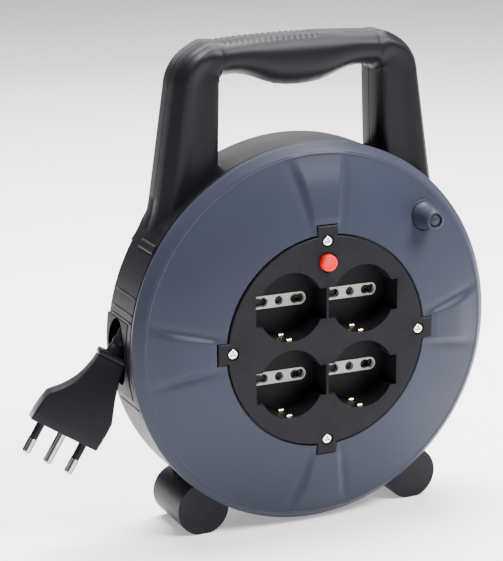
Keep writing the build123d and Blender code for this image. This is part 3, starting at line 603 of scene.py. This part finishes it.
def winding_knob():
    """Tapered knob with a rounded tip, a ring groove round its pin, and the pin's domed head."""
    profile = [(2.6, 8.1), (7.6, 8.1), (7.9, 7.8), (7.9, 6.9), (7.75, 6.4), (7.4, 5.6), (6.95, 4.4), (6.55, 3.0),
               (6.2, 1.4), (5.9, -0.4), (5.65, -2.4), (5.45, -4.4), (5.3, -5.4), (5.05, -5.95), (4.7, -6.3),
               (4.35, -6.46), (4.1, -6.42), (3.85, -6.2), (3.75, -5.8), (3.7, -4.2), (2.6, -4.2)]
    lathe("knob_grip", profile, KNOB, "crank_knob", "knob_blue", ("winding_knob",), 96, 60.0)
    head = [(0.0, -6.45), (1.0, -6.4), (2.0, -6.1), (2.8, -5.6), (3.4, -5.2), (3.6, -4.7), (2.5, -4.4), (2.5, 14.5),
            (0.0, 14.6)]
    lathe("knob_pivot", head, KNOB, "drum", "knob_blue", ("knob_pin",), 64, 50.0)


def reset_button():
    low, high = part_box("reset_button")
    centre = ((low.x + high.x) / 2 / MM, ((low.z + high.z) / 2 - AXIS_Z) / MM)
    profile = [(0.0, -2.85), (1.4, -2.9), (2.7, -3.05), (3.25, -3.17), (3.7, -3.15), (4.2, -2.95), (4.55, -2.55),
               (4.68, -2.0), (4.7, 4.4), (5.85, 4.45), (5.9, 5.6), (1.6, 5.6), (1.6, 10.5), (0.0, 10.6)]
    lathe("reset_cap", profile, centre, "reset_key", "reset_red", ("reset_button",), 96, 50.0)


def return_spring():
    """The reset button's spring, copied from the CAD part and carried on the drum."""
    piece = bpy.data.objects.new("return_spring", nodes["reset_spring"].data.copy())
    bpy.context.scene.collection.objects.link(piece)
    smooth_by_angle(piece, 40.0)
    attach(piece, "drum")
    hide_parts("reset_spring")
    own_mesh(piece)


# ---- handle ---------------------------------------------------------------------------------------
CASING_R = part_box("housing_front")[1].x / MM     # casing rim, outer radius
RIM_SINK_R = CASING_R - 1.5
HANDLE_FRONT, HANDLE_BACK, PARTING = 30.0, 60.0, 45.0
GRIP_END = 47.8
RIB_PITCH, RIB_DEPTH = 3.5, 0.6
RIBS_START, RIBS_END = -46.0, 12.0
# holes in the back of the handle for its screws, cut past the handle's back
BORE_R, BORE_FRONT, BORE_BACK = 3.4, 49.0, 64.0
HANDLE_SCREWS = ((-61, 146), (61, 146), (-68, 93), (68, 93))


def handle_edges():
    """Right half of the handle as pairs of outer and inner edge points, from the grip's middle to the rim."""
    outer, inner, share = [], [], []
    under = ((0, 137.0), (7, 137.3), (14, 138.3), (20, 140.2), (26, 142.6), (31, 144.3), (36, 145.2), (40, 145.3),
             (44.4, 145.0), (46.2, 144.4), (47.3, 143.2), (47.6, 141.8))
    step = 0.58
    count = int(GRIP_END / step)
    for i in range(count + 1):
        x = i * step
        outer.append((x, 164.6 - x * x / 1300))
        inner.append((min(x, 47.6), along(under, min(x, 47.59))))
        share.append(0.0)
    centre, radius = (49.04, 137.68), 25.0
    for i in range(1, 31):
        t = i / 30
        turn = math.radians(92.0 - 83.3 * t)
        outer.append((centre[0] + radius * math.cos(turn), centre[1] + radius * math.sin(turn)))
        inner.append((47.6, 143.0 - 2.2 * t))
        share.append(smooth_step(t, 0.0, 0.55))
    outer_post = ((73.75, 141.4), (74.9, 133.8), (76.6, 122.8), (78.4, 111.0), (80.2, 99.2), (82.0, 87.4),
                  (83.6, 77.0), (85.0, 70.6), (87.2, 64.2), (90.0, 58.8), (91.9, 56.2), (91.0, 55.2))
    inner_post = ((47.62, 140.8), (47.7, 135.0), (47.85, 127.5), (48.0, 120.0), (48.15, 113.0), (48.3, 107.0),
                  (48.4, 103.0), (48.48, 100.0), (48.54, 98.0), (48.58, 96.8), (48.6, 96.0), (48.6, 94.8))
    for i in range(1, len(outer_post)):
        for k in range(1, 4):
            t = k / 3
            outer.append(tuple(a + (b - a) * t for a, b in zip(outer_post[i - 1], outer_post[i])))
            inner.append(tuple(a + (b - a) * t for a, b in zip(inner_post[i - 1], inner_post[i])))
            share.append(1.0)
    return outer, inner, share


def along(points, x):
    """Height at x on a line through the points."""
    for (x0, z0), (x1, z1) in zip(points, points[1:]):
        if x0 <= x <= x1:
            t = (x - x0) / (x1 - x0)
            return z0 + (z1 - z0) * t
    return points[-1][1]


def handle_set_back(s, post, x):
    """How far the handle's face stands back from its crest, s running from the outer to the inner edge."""
    grip = 7.5 * abs(2 * s - 0.92) ** 2.6 if s > 0.46 else 6.5 * abs(1 - s / 0.46) ** 2.4
    ridge = 7.6 * max(0.0, 1 - s / 0.2) ** 2.2
    valley = 1.5 * math.exp(-((s - 0.085) / 0.04) ** 2)
    plateau = 1.5 * smooth_step(s, 0.24, 0.5) - 0.5 * smooth_step(s, 0.55, 0.9)
    edge = 6.0 * max(0.0, (s - 0.84) / 0.16) ** 2.4
    crease = 0.4 * math.exp(-((abs(x) - GRIP_END) / 1.1) ** 2) * smooth_step(s, 0.3, 0.5)
    return grip * (1 - post) + (ridge + valley + plateau + edge) * post + crease


def handle():
    """The casing's handle: crowned posts and a rounded grip, in two halves that meet at the parting line."""
    outer, inner, share = handle_edges()
    right = list(zip(outer, inner, share))
    stations = [((-o[0], o[1]), (-i[0], i[1]), p) for o, i, p in reversed(right[1:])] + right
    samples = [0.0, 0.012, 0.03, 0.05, 0.075, 0.1, 0.13, 0.16, 0.19, 0.22, 0.26, 0.3, 0.36, 0.42, 0.48, 0.55,
               0.62, 0.69, 0.76, 0.82, 0.86, 0.89, 0.92, 0.945, 0.965, 0.985, 1.0]
    for name, face, way in (("handle_front", HANDLE_FRONT, 1), ("handle_rear", HANDLE_BACK, -1)):
        points = []
        for (ox, oz), (ix, iz), post in stations:
            width = math.hypot(ix - ox, iz - oz)
            bump = 0.9 * math.exp(-((abs(ox) - 53.0) / 4.5) ** 2)
            section = []
            for s in samples:
                depth = handle_set_back(s, post, (ox + ix) / 2)
                lift = bump * (1 - s) ** 3
                if post == 0.0 and ox < RIBS_END:
                    # fine grooves across the top of the grip, cut in so that the ribs stay at its outline
                    rib = 0.5 + 0.5 * math.cos(2 * math.pi * ox / RIB_PITCH)
                    fade = (1 - smooth_step(s, 0.0, 0.1)) * smooth_step(ox, RIBS_START, RIBS_START + 2.0)
                    lift -= RIB_DEPTH * (1 - rib) * fade
                section.append((s - lift / width, face + way * depth))
            seam = 0.3 / width
            section += [(1.0, PARTING - way * 0.35), (1.0 - seam, PARTING - way * 0.02),
                        (seam - bump / width, PARTING - way * 0.02), (0.0 - bump / width, PARTING - way * 0.35)]
            for s, depth in section:
                x, z = ox + (ix - ox) * s, oz + (iz - oz) * s
                reach = math.hypot(x, z)
                if reach < RIM_SINK_R:
                    x, z = x * RIM_SINK_R / reach, z * RIM_SINK_R / reach
                points.append(place(x, depth, z))
        per = len(samples) + 4
        faces = grid_faces(len(stations), per, False, True)
        faces += [tuple(range(per)), tuple(range((len(stations) - 1) * per, len(stations) * per))]
        half = piece_from(name, points, faces, "housing", "casing_black", (), 32.0)
        if way < 0:
            for index, (x, z) in enumerate(HANDLE_SCREWS):
                bore = [(0.0, BORE_FRONT), (BORE_R, BORE_FRONT), (BORE_R, BORE_BACK), (0.0, BORE_BACK)]
                cut(half, lathe("bore_%d" % index, bore, (x, z),
                                "housing", "casing_black", (), 48))
            smooth_by_angle(half, 32.0)


def casing_halves():
    """The two casing halves as the CAD has them, with the handle taken off for its shaped one."""
    for node_name in ("housing_front", "housing_rear"):
        piece = bpy.data.objects.new(node_name.replace("housing", "casing"), nodes[node_name].data.copy())
        bpy.context.scene.collection.objects.link(piece)
        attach(piece, "housing")
        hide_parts(node_name)
        # a thick curved slab that stands just outside the rim and takes the whole handle with it
        points = []
        near = CASING_R + 0.02
        low, high, steps = 22.0, 158.0, 272
        for i in range(steps + 1):
            degrees = low + (high - low) * i / steps
            for radius, depth in ((near, 10.0), (210.0, 10.0), (210.0, 80.0), (near, 80.0)):
                x, z = polar(radius, degrees)
                points.append(place(x, depth, z))
        faces = grid_faces(steps + 1, 4, False, True) + [(0, 1, 2, 3), tuple(range(steps * 4, steps * 4 + 4))]
        cut(piece, piece_from("handle_cutter", points, faces, "housing", "casing_black"))
        smooth_by_angle(piece, 28.0)


def rim_strip(name, degrees, half_width, height, front, back):
    """A low moulded strip on the casing's rim, running from front to back."""
    # across: share of the half width and height; lengthways: depth and share of the height
    sink = 0.4
    across = ((-1.0, -sink), (-1.0, 0.5 * height), (-0.72, 0.93 * height), (-0.4, height), (0.0, height),
              (0.4, height), (0.72, 0.93 * height), (1.0, 0.5 * height), (1.0, -sink))
    lengthways = ((front, 0.0), (front, 0.6), (front + 0.4, 1.0), (front + 4.0, 1.0), (back - 4.0, 1.0),
                  (back - 0.4, 1.0), (back, 0.6), (back, 0.0))
    points, rows, columns = [], len(lengthways), len(across)
    for side, lift in across:
        turn = math.degrees(side * half_width / CASING_R)
        for depth, share in lengthways:
            x, z = polar(CASING_R - sink + (lift + sink) * share, degrees + turn)
            points.append(place(x, depth, z))
    faces = grid_faces(columns, rows, False, False)
    faces += [tuple(range(rows)), tuple(range((columns - 1) * rows, columns * rows))]
    faces += [tuple(i * rows for i in range(columns)), tuple(i * rows + rows - 1 for i in range(columns))]
    piece_from(name, points, faces, "housing", "casing_black", (), 40.0)


def rim_details():
    """Latch pad and the raised lines beside the cable guide."""
    rim_strip("rim_latch", 148.5, 2.6, 1.0, 22.5, 43.0)
    for index, degrees in enumerate((163.5, 168.5, 170.8, 197.5)):
        rim_strip("rim_rib_%d" % (index + 1), degrees, 0.5, 0.35, 22.5, 51.0)


camera()
studio()
winding()
lead()
front_disc()
winding_knob()
reset_button()
return_spring()
casing_halves()
handle()
rim_details()

for name, node in nodes.items():
    for polygon in node.data.polygons:
        polygon.use_smooth = True
    crisp = node.modifiers.new("crisp_edges", "EDGE_SPLIT")
    crisp.split_angle = math.radians(28.0)
